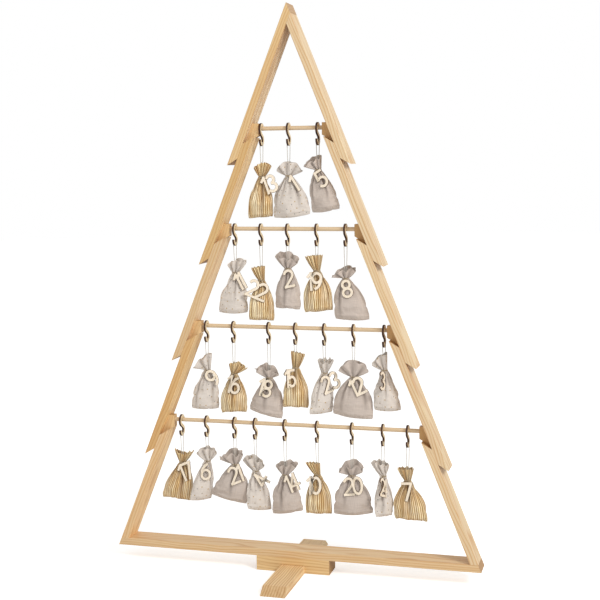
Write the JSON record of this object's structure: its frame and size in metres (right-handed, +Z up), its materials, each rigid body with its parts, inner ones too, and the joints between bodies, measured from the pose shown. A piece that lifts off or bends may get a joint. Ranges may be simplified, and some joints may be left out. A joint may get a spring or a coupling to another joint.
{
  "type": "wooden advent calendar",
  "caption": "Tree-shaped pine frame on a cross foot; tied fabric pouches with cut-out day numbers hang from its rods on swinging plywood hooks.",
  "frame": {"origin": "on the floor, under the middle of the foot", "axes": "+Z up to the apex, +X to the right seen from the front, front towards -Y"},
  "size_m": [0.9162, 0.406, 1.362],
  "materials": {
    "pine": "planed pine, bare or thinly oiled",
    "rod_wood": "smooth turned dowel",
    "plywood": "pale plywood with scorched cut edges",
    "gold_fabric": "pleated gold lame",
    "dotted_fabric": "off-white cotton with small dots",
    "plain_fabric": "plain grey-beige linen weave",
    "screw_steel": "zinc plated"
  },
  "bodies": {
    "frame": {"tier_1_boards": "pine", "tier_2_boards": "pine", "tier_3_boards": "pine", "tier_4_boards": "pine", "tier_5_boards": "pine", "base_rail": "pine", "hanging_rods": "rod_wood", "rod_blocks": "pine", "foot_sole": "pine", "foot_top_board": "pine", "foot_side_blocks": "pine", "foot_screws": "screw_steel"},
    "day_13": {"hook_13": "plywood", "pouch_13": "gold_fabric"},
    "day_01": {"hook_01": "plywood", "pouch_01": "dotted_fabric"},
    "day_05": {"hook_05": "plywood", "pouch_05": "plain_fabric"},
    "day_11": {"hook_11": "plywood", "pouch_11": "dotted_fabric"},
    "day_22": {"hook_22": "plywood", "pouch_22": "gold_fabric"},
    "day_02": {"hook_02": "plywood", "pouch_02": "plain_fabric"},
    "day_19": {"hook_19": "plywood", "pouch_19": "gold_fabric"},
    "day_08": {"hook_08": "plywood", "pouch_08": "plain_fabric"},
    "day_09": {"hook_09": "plywood", "pouch_09": "dotted_fabric"},
    "day_16": {"hook_16": "plywood", "pouch_16": "gold_fabric"},
    "day_18": {"hook_18": "plywood", "pouch_18": "plain_fabric"},
    "day_15": {"hook_15": "plywood", "pouch_15": "gold_fabric"},
    "day_23": {"hook_23": "plywood", "pouch_23": "dotted_fabric"},
    "day_12": {"hook_12": "plywood", "pouch_12": "plain_fabric"},
    "day_03": {"hook_03": "plywood", "pouch_03": "dotted_fabric"},
    "day_17": {"hook_17": "plywood", "pouch_17": "gold_fabric"},
    "day_06": {"hook_06": "plywood", "pouch_06": "dotted_fabric"},
    "day_21": {"hook_21": "plywood", "pouch_21": "plain_fabric"},
    "day_04": {"hook_04": "plywood", "pouch_04": "dotted_fabric"},
    "day_14": {"hook_14": "plywood", "pouch_14": "plain_fabric"},
    "day_10": {"hook_10": "plywood", "pouch_10": "gold_fabric"},
    "day_20": {"hook_20": "plywood", "pouch_20": "plain_fabric"},
    "day_24": {"hook_24": "plywood", "pouch_24": "dotted_fabric"},
    "day_07": {"hook_07": "plywood", "pouch_07": "gold_fabric"}
  },
  "joints": [
    {"name": "swing_01", "type": "hinge", "parent": "frame", "child": "day_01", "pos_m": [-0.00584, 0, 1.07452], "axis": [1, 0, 0], "range_deg": [-40, 40]},
    {"name": "swing_02", "type": "hinge", "parent": "frame", "child": "day_02", "pos_m": [-0.01123, 0, 0.83652], "axis": [1, 0, 0], "range_deg": [-40, 40]},
    {"name": "swing_03", "type": "hinge", "parent": "frame", "child": "day_03", "pos_m": [0.22268, 0, 0.59852], "axis": [1, 0, 0], "range_deg": [-40, 40]},
    {"name": "swing_04", "type": "hinge", "parent": "frame", "child": "day_04", "pos_m": [-0.10006, 0, 0.36052], "axis": [1, 0, 0], "range_deg": [-40, 40]},
    {"name": "swing_05", "type": "hinge", "parent": "frame", "child": "day_05", "pos_m": [0.06567, 0, 1.07452], "axis": [1, 0, 0], "range_deg": [-40, 40]},
    {"name": "swing_06", "type": "hinge", "parent": "frame", "child": "day_06", "pos_m": [-0.22589, 0, 0.36052], "axis": [1, 0, 0], "range_deg": [-40, 40]},
    {"name": "swing_07", "type": "hinge", "parent": "frame", "child": "day_07", "pos_m": [0.27895, 0, 0.36052], "axis": [1, 0, 0], "range_deg": [-40, 40]},
    {"name": "swing_08", "type": "hinge", "parent": "frame", "child": "day_08", "pos_m": [0.131, 0, 0.83652], "axis": [1, 0, 0], "range_deg": [-40, 40]},
    {"name": "swing_09", "type": "hinge", "parent": "frame", "child": "day_09", "pos_m": [-0.22117, 0, 0.59852], "axis": [1, 0, 0], "range_deg": [-40, 40]},
    {"name": "swing_10", "type": "hinge", "parent": "frame", "child": "day_10", "pos_m": [0.05685, 0, 0.36052], "axis": [1, 0, 0], "range_deg": [-40, 40]},
    {"name": "swing_11", "type": "hinge", "parent": "frame", "child": "day_11", "pos_m": [-0.14372, 0, 0.83652], "axis": [1, 0, 0], "range_deg": [-40, 40]},
    {"name": "swing_12", "type": "hinge", "parent": "frame", "child": "day_12", "pos_m": [0.14871, 0, 0.59852], "axis": [1, 0, 0], "range_deg": [-40, 40]},
    {"name": "swing_13", "type": "hinge", "parent": "frame", "child": "day_13", "pos_m": [-0.07297, 0, 1.07452], "axis": [1, 0, 0], "range_deg": [-40, 40]},
    {"name": "swing_14", "type": "hinge", "parent": "frame", "child": "day_14", "pos_m": [-0.02426, 0, 0.36052], "axis": [1, 0, 0], "range_deg": [-40, 40]},
    {"name": "swing_15", "type": "hinge", "parent": "frame", "child": "day_15", "pos_m": [0.00528, 0, 0.59852], "axis": [1, 0, 0], "range_deg": [-40, 40]},
    {"name": "swing_16", "type": "hinge", "parent": "frame", "child": "day_16", "pos_m": [-0.15173, 0, 0.59852], "axis": [1, 0, 0], "range_deg": [-40, 40]},
    {"name": "swing_17", "type": "hinge", "parent": "frame", "child": "day_17", "pos_m": [-0.29183, 0, 0.36052], "axis": [1, 0, 0], "range_deg": [-40, 40]},
    {"name": "swing_18", "type": "hinge", "parent": "frame", "child": "day_18", "pos_m": [-0.0619, 0, 0.59852], "axis": [1, 0, 0], "range_deg": [-40, 40]},
    {"name": "swing_19", "type": "hinge", "parent": "frame", "child": "day_19", "pos_m": [0.06063, 0, 0.83652], "axis": [1, 0, 0], "range_deg": [-40, 40]},
    {"name": "swing_20", "type": "hinge", "parent": "frame", "child": "day_20", "pos_m": [0.14326, 0, 0.36052], "axis": [1, 0, 0], "range_deg": [-40, 40]},
    {"name": "swing_21", "type": "hinge", "parent": "frame", "child": "day_21", "pos_m": [-0.15312, 0, 0.36052], "axis": [1, 0, 0], "range_deg": [-40, 40]},
    {"name": "swing_22", "type": "hinge", "parent": "frame", "child": "day_22", "pos_m": [-0.07785, 0, 0.83652], "axis": [1, 0, 0], "range_deg": [-40, 40]},
    {"name": "swing_23", "type": "hinge", "parent": "frame", "child": "day_23", "pos_m": [0.077, 0, 0.59852], "axis": [1, 0, 0], "range_deg": [-40, 40]},
    {"name": "swing_24", "type": "hinge", "parent": "frame", "child": "day_24", "pos_m": [0.21906, 0, 0.36052], "axis": [1, 0, 0], "range_deg": [-40, 40]}
  ]
}
